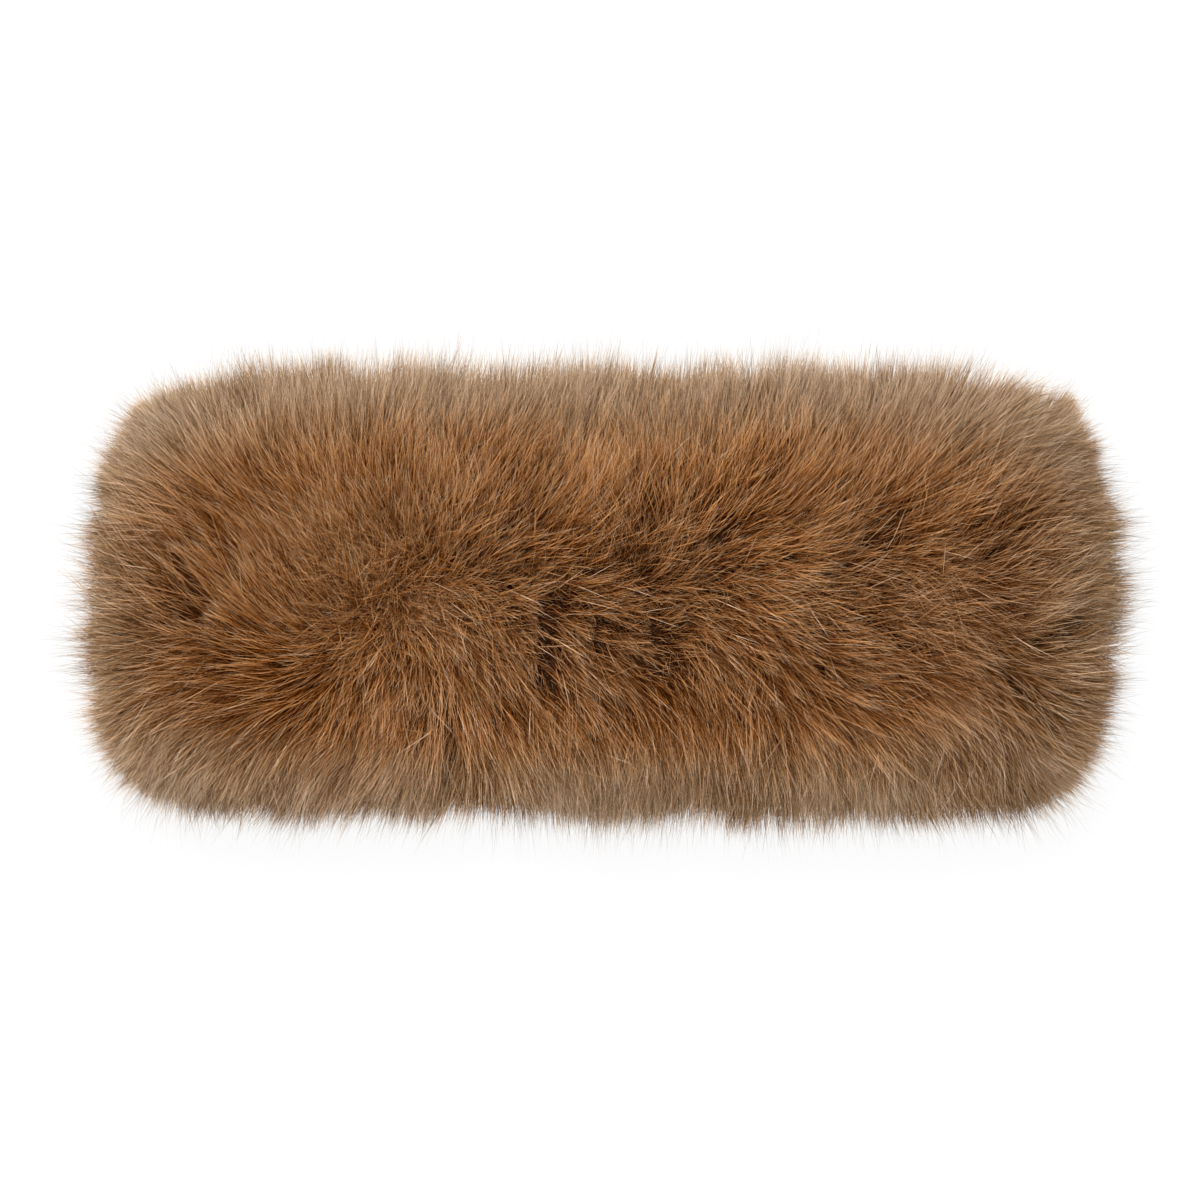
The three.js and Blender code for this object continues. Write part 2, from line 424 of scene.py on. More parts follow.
# %% [markdown]
# ## Roots and leans
#
# Before a hair can grow it needs a root on the cloth and a lean. Fur on a table lies flatter the further it
# is from the parting, stands up at the whorl, and is pressed nearly flat under the wrap. The three passes
# of the next cell all start from the same root function, each with its own unevenness on top of that of its
# parent.

# %% Roots and leans
TRIAL_LENGTH = 28 * MM
EDGE = HALF_HEIGHT - 0.3 * MM
LEAST_LEAN = 25  # degrees, on the parting
LYING_LEAN = 33  # more degrees, far from it
UNEVEN_LEAN = 9
PRESSED_LEAN = 76  # under the wrap
UPRIGHT_CLOTH = 0.55  # the share of its lean that a hair keeps where the cloth stands upright
UPRIGHT_REACH = 9 * MM  # round the start of the parting the hairs stand up
UPRIGHT = 0.65  # by this share of their lean
WHORL_STRAY = 1.2
PARTING_STRAY = 1.5
HAIR_PARTING_STRAY = 2.4  # single hairs cross there more than tufts do
END_STRAY = 0.9
FARTHEST_STRAY = 6
LIFT_SHARE = 0.6  # how far the lean strays, as a share of the stray in heading
BEND_SHARE = 0.8  # and how far the bend strays
LEAST_ANGLE, MOST_ANGLE = 0.04, 1.5  # of a lean, in radians
JAGGED = 0.11  # how much the tips at the two ends differ in length
POINT_SIZE = 5.5 * MM  # how wide the points are that they gather in


def lean_at(place, way):
    x, y = place[:, 0], place[:, 1]
    along, start = from_parting(x, y)
    far = 1 - np.exp(-((along / LEAN_REACH) ** 1.5) * 1.6)  # 0 on the parting, and 1 far from it
    lean = np.radians(LEAST_LEAN + LYING_LEAN * far + UNEVEN_LEAN * soft_noise(x, y, 14 * MM, 5))
    lean *= 1 - UPRIGHT * np.exp(-((start / UPRIGHT_REACH) ** 2))
    faces_up = np.clip(way[:, 2], 0, 1)
    under = np.clip(-way[:, 2], 0, 1)
    on_folds = UPRIGHT_CLOTH + (1 - UPRIGHT_CLOTH) * faces_up
    return lean * on_folds * (1 - under) + np.radians(PRESSED_LEAN) * under


def end_nearness(place):
    """0 over most of the wrap, and 1 at its left and right ends."""
    return ramped(np.abs(place[:, 0]), 100 * MM, 24 * MM)


def jagged_at(place):
    """How much longer or shorter the fur is along the two ends, where its tips gather in points."""
    points = soft_noise(0.3 * place[:, 0], place[:, 1], POINT_SIZE, 41) - 0.3
    return 1 + JAGGED * end_nearness(place) * points


def rim_nearness(place):
    """0 over the middle of the front, and 1 at the rims and folds."""
    return np.clip(np.hypot(place[:, 0] / (146 * MM), place[:, 1] / (52 * MM)) ** 2, 0, 1)


def root_level(rng, s, y, jitter, parent=None, stray=False):
    """Roots of one pass, each with its own small turn, lift and bend on top of those of its parent."""
    y = np.clip(y, -EDGE, EDGE)
    place, way = on_rimmed_loop(s, y)
    place = place + way * (WALL / 2)
    n = len(s)
    _, start = from_parting(place[:, 0], place[:, 1])
    whorl = np.exp(-((start / WHORL_REACH) ** 2))
    end = ramped(np.abs(place[:, 0]), 80 * MM, 40 * MM)
    crossing = (HAIR_PARTING_STRAY if stray else PARTING_STRAY) * ruffled_at(place[:, 0], place[:, 1])
    spread = math.radians(jitter) * (1 + crossing + END_STRAY * end)
    if stray:  # most hairs keep to their tuft, and a few leave it by far
        draws = np.clip(rng.standard_t(2, n), -FARTHEST_STRAY, FARTHEST_STRAY)
    else:
        draws = rng.normal(0, 1, n)
    level = {
        "s": s,
        "y": y,
        "place": place,
        "way": way,
        "turn": draws * spread * (1 + WHORL_STRAY * whorl),
        "lift": rng.normal(0, LIFT_SHARE, n) * spread,
        "bend": rng.normal(0, BEND_SHARE, n) * spread,
        "tone": rng.normal(0, 1, n),
    }
    if parent is not None:
        above, rows = parent
        for key in ("turn", "lift", "bend"):
            level[key] = level[key] + above[key][rows]
    level["lean"] = np.clip(lean_at(place, way) + level["lift"], LEAST_ANGLE, MOST_ANGLE)
    return level


def grow_level(level, length):
    return grow(level["place"], level["way"], level["lean"], length, level["turn"], level["bend"])


def full_length(level):
    """The length at which each hair of a level meets the fur's outer form."""
    trial = grow_level(level, np.full(len(level["s"]), TRIAL_LENGTH))
    chord = trial[:, -1] - trial[:, 0]
    straight = np.linalg.norm(chord, axis=1)
    reach = reach_from(level["place"], level["way"], chord / straight[:, None])
    return reach * TRIAL_LENGTH / straight


def follow(own, lead, offset, pull, spread):
    """Paths drawn towards their leader's, more and more towards the tip, which keep some of their offset."""
    weight = pull[:, :, None]
    return own * (1 - weight) + (lead + spread * offset[:, None]) * weight


spots = np.array([[PARTING[0], 0, 0], [0, 0, 0], [0, HALF_HEIGHT, 0]])
spot_leans = np.degrees(lean_at(spots, np.tile([0.0, 0.0, 1.0], (len(spots), 1))))
print("leans in degrees at the whorl, the middle and the rim:", spot_leans.round().astype(int))

# %% [markdown]
# ## How light and how ashy
#
# This fur isn't one colour. Its middle is a warm brown, its rims are faded to ash, and patches of a few
# centimetres are lighter or darker. Painted light and shade come on top: the top half is lighter, and the
# ends and the outermost hairs are darker. Dyed fibre can't be painted afterwards, so the shade is a number
# that each hair gets from the place of its tip. A hair carries one number to its material, so the lightness
# and the ash are packed into it: the ash chooses one of a few bands, and the lightness is the place in the
# band.
#
# The patches and the other numbers below were set in rounds, to agree with measured brightness.

# %% Shades
HUES = 10  # bands, from warm to ash
BAND_MARGIN = 0.03  # of a band, kept free at both sides
PLAIN_LIGHT = 0.61
WHORL_LIGHT = 0.15
PATCH_LIGHT = 0.09
PARTING_LIGHT = 0.2
LIGHT_PATCHES = [
    # x and y of the middle, radius, and how much lighter the fur is there
    (-44, 10, 15, 0.34),
    (-10, 20, 12, -0.31),
    (21, 21, 20, 0.08),
    (-45, 38, 25, 0.06),
    (-76, 14, 15, -0.18),
    (-112, 36, 15, -0.3),
    (-122, -24, 17, -0.3),
    (-50, -43, 12, 0.2),
    (50, -20, 12, -0.18),
    (48, 5, 19, 0.3),
    (28, 0, 10, 0.1),
    (-28, 16, 13, 0.2),
    (24, -45, 17, -0.2),
    (44, -64, 12, -0.28),
    (-146, 26, 10, -0.4),
    (-145, -33, 8, 0.36),
    (146, -8, 8, 0.16),
    (128, -54, 8, 0.2),
    (-128, 56, 8, 0.14),
    (12, -54, 12, 0.16),
    (50, -55, 10, 0.2),
    (-30, -63, 8, -0.3),
    (110, -63, 8, -0.2),
    (92, 60, 12, 0.2),
    (-76, -36, 20, 0.16),
    (-125, -48, 24, 0.05),
    (-130, 18, 20, -0.14),
    (130, 30, 22, -0.22),
    (110, 5, 16, -0.1),
    (88, 8, 18, -0.06),
    (52, 20, 13, -0.16),
    (20, -22, 30, -0.14),
    (9, 20, 12, -0.08),
    (143, -30, 10, -0.14),
    (-72, -64, 9, -0.12),
    (-30, 30, 9, 0.08),
    (30, 31, 9, 0.09),
    (-71, 6, 8, -0.1),
    (70, -42, 11, -0.1),
    (-144, 40, 6, 0.2),
]


def tone_and_painted_light_at(x, y, out, end):
    """How light the fur is: its own tone, with painted light and shade on top.
    `out` is 1 on the outline, and `end` is 1 at the left and right ends.
    """
    top, right = y > 0, x > 0
    rim = ramped(out, 0.8, 0.12) * np.where(top, 0.08, 0.06)
    # Painted shade: the outermost hairs are darker, most at the top, against the light of lamp and floor.
    painted_rim_shade = ramped(out, 0.97, 0.06) * np.where(top, 0.22, 0.1) * (1 - end)
    corner = end * ramped(np.abs(y), 26 * MM, 20 * MM)
    tips = np.where(right, 0.06, 0.2) + np.where(right, 0.1, 0.16) * corner
    end_rim = end * ramped(out, 0.9, 0.1) * tips
    # Painted shade: the fur is darker towards the left and right ends.
    ends = ramped(np.abs(x), 60 * MM, 50 * MM) * np.where(right, 0.2, 0.17)
    _, start = from_parting(x, y)
    whorl = np.exp(-((start / (15 * MM)) ** 2))
    # Painted light: the top half is lighter and the bottom darker, as the lamp on the top side lights them.
    light = PLAIN_LIGHT + 0.17 * np.clip(y / (36 * MM), -0.6, 1.5) + rim - painted_rim_shade - ends + end_rim
    light += WHORL_LIGHT * whorl + PATCH_LIGHT * soft_noise(x, y, 6 * MM, 9)
    for px, py, radius, extra in LIGHT_PATCHES:
        light += extra * np.exp(-((x - px * MM) ** 2 + (y - py * MM) ** 2) / (radius * MM) ** 2)
    return light + PARTING_LIGHT * ruffled_at(x, y) * np.clip(1 - x / (90 * MM), 0, 1)


def ash_at(x, y, z, out, end):
    """How far the fur is faded from warm brown, at 0, to ash, at 1."""
    side = np.where(x < 0, 0.55, 0.85)
    ash = ramped(out, np.where(y > 0, 0.73, 0.7), 0.28) * np.where(np.abs(y) < 40 * MM, side, 1)
    ash += 0.16 * np.clip(-y / (20 * MM), 0, 1) * np.clip(1.6 - np.abs(x) / (50 * MM), 0, 1)
    right = 0.2 * np.clip(x / (40 * MM) - 1.2, 0, 1) * (1 - 0.5 * np.clip(y / (20 * MM), 0, 1))
    ash += right + 0.5 * end * ramped(out, 0.86, 0.12)
    return ash + 0.8 * np.clip((LOOP_Z + 4 * MM - z) / (12 * MM), 0, 1)


def shade_at(path):
    """How light the fur is where each hair ends, and how ashy."""
    x, y, z = path[:, -1].T
    out = ((x / (146 * MM)) ** 4 + (y / (65 * MM)) ** 4) ** 0.25
    end = end_nearness(path[:, -1])
    return tone_and_painted_light_at(x, y, out, end), ash_at(x, y, z, out, end)


def tone_of(light, ash):
    """One number for both: the band says how ashy a hair is, and the place in it how light."""
    band = np.rint(np.clip(ash, 0, 1) * (HUES - 1))
    return (band + BAND_MARGIN + (1 - 2 * BAND_MARGIN) * np.clip(light, 0, 1)) / HUES


print("light patches", len(LIGHT_PATCHES))

# %% [markdown]
# ## Locks, tufts and hairs
#
# Hairs never lie evenly: they gather in tufts, and tufts in locks. So the fur is grown in three passes.
# Each lock gets a path, each tuft follows its lock towards the tip, and each hair follows its tuft.
# Blender's own hair has clumps for this. Three plain passes do the same, and let each hair end at the outer
# form and keep out of clefts.

# %% Locks, tufts and hairs
LOCK_JITTER = 8  # degrees
TUFT_JITTER = 8
HAIR_JITTER = 13
# How strongly a tuft is drawn to its lock at each step along it, and a hair to its tuft.
LOCK_PULL = 0.54 * STEPS**1.3
TUFT_PULL = 0.56 * STEPS**1.1
KEPT_BY_TUFT = 0.55  # the share of its distance from its leader that each keeps at its tip
KEPT_BY_HAIR = 0.5
LOCK_RADIUS = 0.62  # of the spacing of locks
TUFT_SPREAD = 0.9 * MM  # how far hairs stand from the middle of their tuft
CRIMP = 0.2 * MM  # how far a hair wanders off a smooth curve
PALE_CROSSERS = 1.6  # hairs whose own tone is above this cross the clefts
# Painted shade: hairs that a cleft cuts short are painted darker, as shade in the cleft.
CLEFT_PAINTED_SHADE = 0.9  # how much darker a hair is that a cleft cuts short, times the share that is cut
TONE_SHARES = (0.18, 0.26, 0.52)  # how far the light of a hair differs by its lock, its tuft and itself
FINER_RIM = 0.25


def grow_locks(rng, span, spacing, across):
    """Locks from an even grid over a stretch of the strip, shaken by half a space."""
    low, high = np.array(across) * HALF_HEIGHT
    columns = round((span[1] - span[0]) / spacing)
    lines = round((high - low) / spacing)
    u, v = np.meshgrid(np.arange(columns) + 0.5, np.arange(lines) + 0.5)
    u = (u.ravel() + rng.uniform(-0.5, 0.5, u.size)) / columns
    v = (v.ravel() + rng.uniform(-0.5, 0.5, v.size)) / lines
    locks = root_level(rng, span[0] + (span[1] - span[0]) * u, low + (high - low) * v, LOCK_JITTER)
    place = locks["place"]
    locks["full"] = full_length(locks)
    # Locks differ in length by some hundredths: less at the rims, which are trimmed, and more at the ends.
    uneven = 0.04 - 0.028 * rim_nearness(place) + 0.05 * end_nearness(place)
    locks["length"] = locks["full"] * (1 + uneven * rng.normal(0, 1, len(u)))
    locks["length"] *= jagged_at(place)
    locks["path"] = grow_level(locks, locks["length"])
    return locks


def grow_tufts(rng, locks, per_lock, radius):
    """Tufts within a radius of each lock's root, drawn towards the lock."""
    rows = np.repeat(np.arange(len(locks["s"])), per_lock)
    n = len(rows)
    tufts = root_level(
        rng,
        locks["s"][rows] + rng.uniform(-radius, radius, n),
        locks["y"][rows] + rng.uniform(-radius, radius, n),
        TUFT_JITTER,
        (locks, rows),
    )
    place = tufts["place"]
    rim, end = rim_nearness(place), end_nearness(place)
    # Tufts fall short of the form by up to a third, and more in shallow hollows a few millimetres wide.
    shortfall = rng.uniform(0, 1, n) * (0.30 - 0.24 * rim + 0.1 * end)
    hollow = np.clip(soft_noise(place[:, 0], place[:, 1], 4.5 * MM, 31) - 0.4, 0, 0.8)
    own_full = full_length(tufts) * (1 - 0.4 * hollow * (1 - rim))
    lock_share = locks["length"][rows] / locks["full"][rows]
    tufts["length"] = (0.5 * own_full + 0.5 * locks["full"][rows]) * lock_share * (1.03 - shortfall)
    own = grow_level(tufts, tufts["length"])
    share = np.clip(STEPS * (tufts["length"] / locks["length"][rows])[:, None], 0, 1)
    pull = LOCK_PULL * (1 - 0.6 * rim * (1 - end))[:, None]
    offset = place - locks["place"][rows]
    tufts["path"] = follow(own, point_along(locks["path"][rows], share), offset, pull, KEPT_BY_TUFT)
    tufts["lock_tone"] = locks["tone"][rows]
    return tufts


def grow_hairs(rng, tufts, per_tuft, width):
    """Hairs round each tuft's root, drawn towards the tuft, with their shades."""
    rows = np.repeat(np.arange(len(tufts["s"])), per_tuft)
    n = len(rows)
    hairs = root_level(
        rng,
        tufts["s"][rows] + rng.normal(0, TUFT_SPREAD, n),
        tufts["y"][rows] + rng.normal(0, TUFT_SPREAD, n),
        HAIR_JITTER,
        (tufts, rows),
        stray=True,
    )
    rim, end = rim_nearness(hairs["place"]), end_nearness(hairs["place"])
    # A tuft has hairs of every length, down to half its own, but at the rims they are nearly even.
    length = tufts["length"][rows] * (1.06 - (0.55 - 0.43 * rim) * rng.uniform(0, 1, n) ** 1.2)
    own = grow_level(hairs, length)
    share = np.clip(STEPS * (length / tufts["length"][rows])[:, None], 0, 1)
    pull = TUFT_PULL * (1 - 0.3 * rim * (1 - end))[:, None]
    offset = hairs["place"] - tufts["place"][rows]
    path = follow(own, point_along(tufts["path"][rows], share), offset, pull, KEPT_BY_HAIR)
    path += rng.normal(0, CRIMP, path.shape) * (STEPS**0.8)[None, :, None]
    clear = np.where(hairs["tone"] > PALE_CROSSERS, 1.0, clear_share(path))
    path = point_along(path, STEPS * clear[:, None])
    path[..., 2] = np.maximum(path[..., 2], FLOOR_GAP)

    light, ash = shade_at(path)
    lock_light, tuft_light, hair_light = TONE_SHARES
    own_light = lock_light * tufts["lock_tone"][rows] + tuft_light * tufts["tone"][rows]
    own_light = own_light + hair_light * hairs["tone"]
    # Painted shade in the clefts: a hair that a cleft cuts short is painted darker.
    own_light = own_light * (1 - 0.35 * rim**2) - CLEFT_PAINTED_SHADE * (1 - clear)
    tone = tone_of(light + own_light, ash + rng.normal(0, 0.03, n))
    return {"path": path, "way": hairs["way"], "tone": tone, "width": width * (1 - FINER_RIM * rim)}


def grow_fur(seed, span, spacing, tufts_per_lock, hairs_per_tuft, width, across=(-1, 1)):
    """The fur on a stretch of the strip, and on a share of its height if `across` says so."""
    rng = np.random.default_rng(seed)
    locks = grow_locks(rng, span, spacing, across)
    tufts = grow_tufts(rng, locks, tufts_per_lock, spacing * LOCK_RADIUS)
    return grow_hairs(rng, tufts, hairs_per_tuft, width)


patch = grow_fur(0, (0, 10 * MM), 5 * MM, 4, 5, 0.2 * MM, across=(0, 0.25))
patch_lengths = np.linalg.norm(np.diff(patch["path"], axis=1), axis=-1).sum(axis=1)
print("a trial patch has", len(patch_lengths), "hairs, up to", round(patch_lengths.max() / MM), "mm long")

# %% [markdown]
# ## Hairs as ribbons
#
# A hair is far thinner than anything the eye can measure here, so it doesn't need a round section. Each one
# is a narrow ribbon that tapers to a point, turned so that its flat side mostly faces out of the fur.
# Blender's curves could carry hairs too, but a joined mesh is one plain piece that any program reads. It
# has to be built from arrays, as no operator makes ribbons.
#
# Each ribbon's map puts the share of its length in V, and its own tone in U, which is how the material
# later gives dark roots, pale tips and no two hairs alike.

# %% Ribbon meshes
WIDTHS = np.array([1.0, 0.95, 0.0])  # at the three points of a hair that show
TWIST = math.radians(32)
TONE_WIDTH = 0.004  # each ribbon's own width in U, which stays inside its band of HUES


def link_piece(name, mesh):
    """Puts a finished mesh into the scene, at the origin."""
    mesh.shade_smooth()
    piece = bpy.data.objects.new(name, mesh)
    bpy.context.scene.collection.objects.link(piece)
    print(name, sum(len(p.vertices) - 2 for p in mesh.polygons), "triangles")
    return piece


def ribbon_points(hairs, rng):
    """The corners of each hair's ribbon: a pair at each point of its path, and one at the tip."""
    path = hairs["path"][:, 1:]
    n, k, _ = path.shape
    tangent = np.gradient(path, axis=1)
    tangent /= np.linalg.norm(tangent, axis=-1, keepdims=True) + 1e-12
    side = np.cross(tangent, hairs["way"][:, None, :])
    side /= np.linalg.norm(side, axis=-1, keepdims=True) + 1e-9
    turn = rng.normal(0, TWIST, (n, 1, 1))
    side = side * np.cos(turn) + np.cross(tangent, side) * np.sin(turn)
    half = hairs["width"] / 2 * rng.uniform(0.75, 1.25, n)
    half = half[:, None, None] * WIDTHS[None, :, None]
    left, right = path - side * half, path + side * half
    pairs = np.stack([left[:, :-1], right[:, :-1]], axis=2).reshape(n, 2 * (k - 1), 3)
    return np.concatenate([pairs, path[:, -1:]], axis=1)


def ribbon_map(hairs, per_hair):
    """Tone in U and the share of the length in V. A hair with `pale_from` lacks its dark root."""
    pale_from = hairs.get("pale_from", 0)
    pairs = len(STEPS) - 2
    shares = np.concatenate([np.repeat(STEPS[1:-1], 2), [1.0]])
    shares = shares * (1 - pale_from) + pale_from
    sides = np.concatenate([np.tile([-1, 1], pairs), [0]]) * TONE_WIDTH / 2
    tone = hairs["tone"]
    return np.stack([tone[:, None] + sides, np.broadcast_to(shares, (len(tone), per_hair))], axis=-1)


def ribbon_piece(name, hairs, seed):
    """All the hairs as one mesh, whose ribbons are quads with a triangle at each tip."""
    points = ribbon_points(hairs, np.random.default_rng(seed))
    n, per_hair, _ = points.shape
    last = per_hair - 3
    quads = np.array([[i, i + 1, i + 3, i + 2] for i in range(0, last, 2)])
    corners = np.concatenate([quads.ravel(), [last, last + 1, last + 2]])
    loops = (np.arange(n)[:, None] * per_hair + corners).ravel()
    sizes = np.tile([4] * len(quads) + [3], n)

    mesh = bpy.data.meshes.new(name)
    mesh.vertices.add(n * per_hair)
    mesh.vertices.foreach_set("co", points.ravel())
    mesh.loops.add(len(loops))
    mesh.loops.foreach_set("vertex_index", loops)
    mesh.polygons.add(len(sizes))
    mesh.polygons.foreach_set("loop_start", np.concatenate([[0], np.cumsum(sizes)[:-1]]))
    mesh.update(calc_edges=True)
    layer = mesh.uv_layers.new(name="OFBake")
    layer.uv.foreach_set("vector", ribbon_map(hairs, per_hair).reshape(-1, 2)[loops].ravel())
    print(n, "hairs in", end=" ")
    return link_piece(name, mesh)


print("triangles in a ribbon", 2 * len(WIDTHS) - 3)

# %% [markdown]
# ## Materials
#
# A material is a small network of nodes: one kind of node reads a map or a place, another turns it into a
# colour, and the shader takes the result. Two helpers keep the networks short. One turns a colour as it is
# written for screens into the linear values that a shader takes. The other adds a node and links its
# inputs.

# %% Helpers for materials
def linear(hex_colour):
    """An sRGB hex colour as the linear values that a shader takes."""
    channels = [int(hex_colour[i : i + 2], 16) / 255 for i in (0, 2, 4)]
    return [c / 12.92 if c <= 0.04045 else ((c + 0.055) / 1.055) ** 2.4 for c in channels] + [1.0]


def add_node(tree, kind, inputs=(), **settings):
    """Adds a node, sets its properties, and fills or links its inputs by name or number."""
    node = tree.nodes.new(kind)
    for key, value in settings.items():
        setattr(node, key, value)
    for key, value in dict(inputs).items():
        if isinstance(value, bpy.types.NodeSocket):
            tree.links.new(value, node.inputs[key])
        else:
            node.inputs[key].default_value = value
    return node


def new_material(name, roughness, specular):
    """A material with its tree and its shader, whose plain numbers are set on the shader's own sockets."""
    material = bpy.data.materials.new(name)
    material.use_nodes = True
    tree = material.node_tree
    shader = tree.nodes["Principled BSDF"]
    shader.inputs["Roughness"].default_value = roughness
    shader.inputs["Specular IOR Level"].default_value = specular
    return material, tree, shader


def ramp(tree, factor, stops):
    node = add_node(tree, "ShaderNodeValToRGB", {0: factor})
    elements = node.color_ramp.elements
    while len(elements) < len(stops):
        elements.new(1.0)
    for element, (position, colour) in zip(elements, stops):
        element.position = position
        element.color = linear(colour)
    return node.outputs[0]


def blend(tree, factor, first, second):
    mix = add_node(tree, "ShaderNodeMix", {0: factor, 6: first, 7: second}, data_type="RGBA")
    return mix.outputs[2]


def shape_surface(tree, shader, height, strength, distance):
    """Makes the light see a height that the mesh doesn't have."""
    inputs = {"Height": height, "Strength": strength, "Distance": distance}
    tree.links.new(add_node(tree, "ShaderNodeBump", inputs).outputs[0], shader.inputs["Normal"])


print("mid grey 808080 is", round(linear("808080")[0], 3), "in linear values")

# %% [markdown]
# ## The fibre
#
# The hairs of fur fabric are modacrylic. The fibre is spun dull, so that it looks like hair and not like
# nylon thread: it hardly shines, and what the eye gets from it is colour. That colour runs along the hair,
# from a nearly black root through brown to a pale tip, which is why fur glows on top and is dark in its
# gaps. The near black of the roots is partly the fibre's own dark base and partly painted shade for the
# depth of the fur.
#
# So each palette has three rows, for a dark, a middling and a light hair, and each row four colours from
# root to tip. The finest hairs at the rims get a greyer and darker pair: partly ash of their own, and
# partly painted shade, so that the floor's light doesn't make them glow.

# %% Fibre of the hairs
COLOUR_SHARES = (0.3, 0.6, 0.85, 1.0)  # of a hair's length
# The near-black roots in these rows are partly the fibre's own colour and partly painted shade.
WARM = (
    ("0f0400", "220a00", "3e1a04", "5e3311"),
    ("1a0900", "4a2305", "7c481a", "aa794a"),
    ("281103", "703e1a", "b68250", "e6c7a3"),
)
ASH = (
    ("130702", "2c1305", "4c2d11", "6e4c2a"),
    ("251306", "57371a", "876542", "b39877"),
    ("372415", "7f5f40", "b4987b", "e0cebc"),
)
# Partly painted shade: greyer and darker colours for the finest rim hairs.
GREYED = (
    ("140c06", "2b1e13", "473726", "66543f"),
    ("241810", "4f3e2d", "7b6650", "a8957f"),
    ("35281b", "76644f", "ae9c86", "dbcfc2"),
)


def shaded(tree, share, light, palette):
    """Colours along a hair, for a dark, a middling and a light hair, and everything between them."""
    dark, middling, pale = [ramp(tree, share, list(zip(COLOUR_SHARES, colours))) for colours in palette]
    lower = add_node(tree, "ShaderNodeMapRange", {0: light, 1: 0.0, 2: 0.5})
    upper = add_node(tree, "ShaderNodeMapRange", {0: light, 1: 0.5, 2: 1.0})
    return blend(tree, upper.outputs[0], blend(tree, lower.outputs[0], dark, middling), pale)


def fibre_material(name, warm, ashy):
    """Dull-spun fibre: no gloss to speak of, and a colour that the hair's own map decides."""
    material, tree, shader = new_material(name, roughness=0.8, specular=0.01)
    uv = add_node(tree, "ShaderNodeUVMap", uv_map="OFBake")
    parts = add_node(tree, "ShaderNodeSeparateXYZ", {0: uv.outputs[0]})
    tone, share = parts.outputs[0], parts.outputs[1]
    bands = add_node(tree, "ShaderNodeMath", {0: tone, 1: HUES}, operation="MULTIPLY").outputs[0]
    light = add_node(tree, "ShaderNodeMath", {0: bands}, operation="FRACT").outputs[0]
    band = add_node(tree, "ShaderNodeMath", {0: bands}, operation="FLOOR").outputs[0]
    ash = add_node(tree, "ShaderNodeMapRange", {0: band, 1: 0.0, 2: HUES - 1}).outputs[0]
    colour = blend(tree, ash, shaded(tree, share, light, warm), shaded(tree, share, light, ashy))
    tree.links.new(colour, shader.inputs["Base Color"])
    return material


fibre = fibre_material("modacrylic_fur_fibre", WARM, ASH)
fine_fibre = fibre_material("modacrylic_fine_fibre_painted_shade", ASH, GREYED)
print("nodes in the fibre", len(fibre.node_tree.nodes))

# %% [markdown]
# ## The fur, stretch by stretch
#
# On the real wrap the fur is one coat. Here each stretch of the loop is a piece of its own, which keeps
# every mesh small enough to handle, and lets the back have fewer and thicker hairs than the front that
# everyone sees. The point that the hairs spread from would be thin, as they all lean away from it, so a
# seventh piece adds hairs there.

# %% Fur pieces
FRONT = HALF_RUN * 0.96
BACK_START = HALF_RUN + FOLD_ARC
FUR_ROWS = [
    # name, seed, stretch of the loop, spacing of locks in mm, tufts in a lock, hairs in a tuft, width in mm
    ("fur_front_left", 1, (-FRONT, -FRONT / 3), 4.2, 11, 11, 0.2),
    ("fur_front_middle", 2, (-FRONT / 3, FRONT / 3), 4.2, 11, 11, 0.2),
    ("fur_front_right", 3, (FRONT / 3, FRONT), 4.2, 11, 11, 0.2),
    ("fur_left_fold", 4, (-BACK_START, -FRONT), 3.4, 10, 9, 0.2),
    ("fur_right_fold", 5, (FRONT, BACK_START), 3.4, 10, 9, 0.2),
    ("fur_back", 6, (BACK_START, LOOP_LENGTH - BACK_START), 6.0, 7, 8, 0.3),
]
WHORL_STRETCH = (-78 * MM, -40 * MM)
WHORL_ACROSS = (-0.36, 0.44)  # as shares of half the height


def link_fur(name, hairs, seed, material=fibre):
    piece = ribbon_piece(name, hairs, seed)
    piece.data.materials.append(material)
    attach(piece, "root")
    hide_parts("fur_pile")


for name, seed, stretch, spacing, tufts, hairs, width in FUR_ROWS:
    link_fur(name, grow_fur(seed, stretch, spacing * MM, tufts, hairs, width * MM), seed)
link_fur("fur_whorl", grow_fur(10, WHORL_STRETCH, 3.6 * MM, 10, 9, 0.2 * MM, WHORL_ACROSS), 10)

# %% [markdown]
# ## Loose hairs
#
# A coat that only has tufts looks combed and cut out. What makes it soft are the hairs that don't belong to
# any:
#
# - round the rims and folds, wisps outrun the rest and a fringe fills the gaps between the tufts
# - where the fur spreads from its point, short hairs lean any way
# - over the front, fine strays cross the lie, and a few long, pale guard hairs cross everything
#
# All are grown like the other hairs, only without locks and tufts.

# %% Loose hairs
FOLD_MIDDLE = HALF_RUN + FOLD_ARC / 2
AT_FAR_END = 0.2  # the share of the rim hairs that stand at the far end of their stretch, in front at a fold
FAR_END = 0.84
MOST_RIM_LIGHT = 0.75  # lighter rim hairs would glow, as the floor lights them from below
# Painted shade: how much darker the rim hairs are painted, times each kind's share of it.
RIM_PAINTED_SHADE = 0.28


def loose_hairs(level, path, tone, width, pale_from=0):
    return {"path": path, "way": level["way"], "tone": tone, "width": width, "pale_from": pale_from}


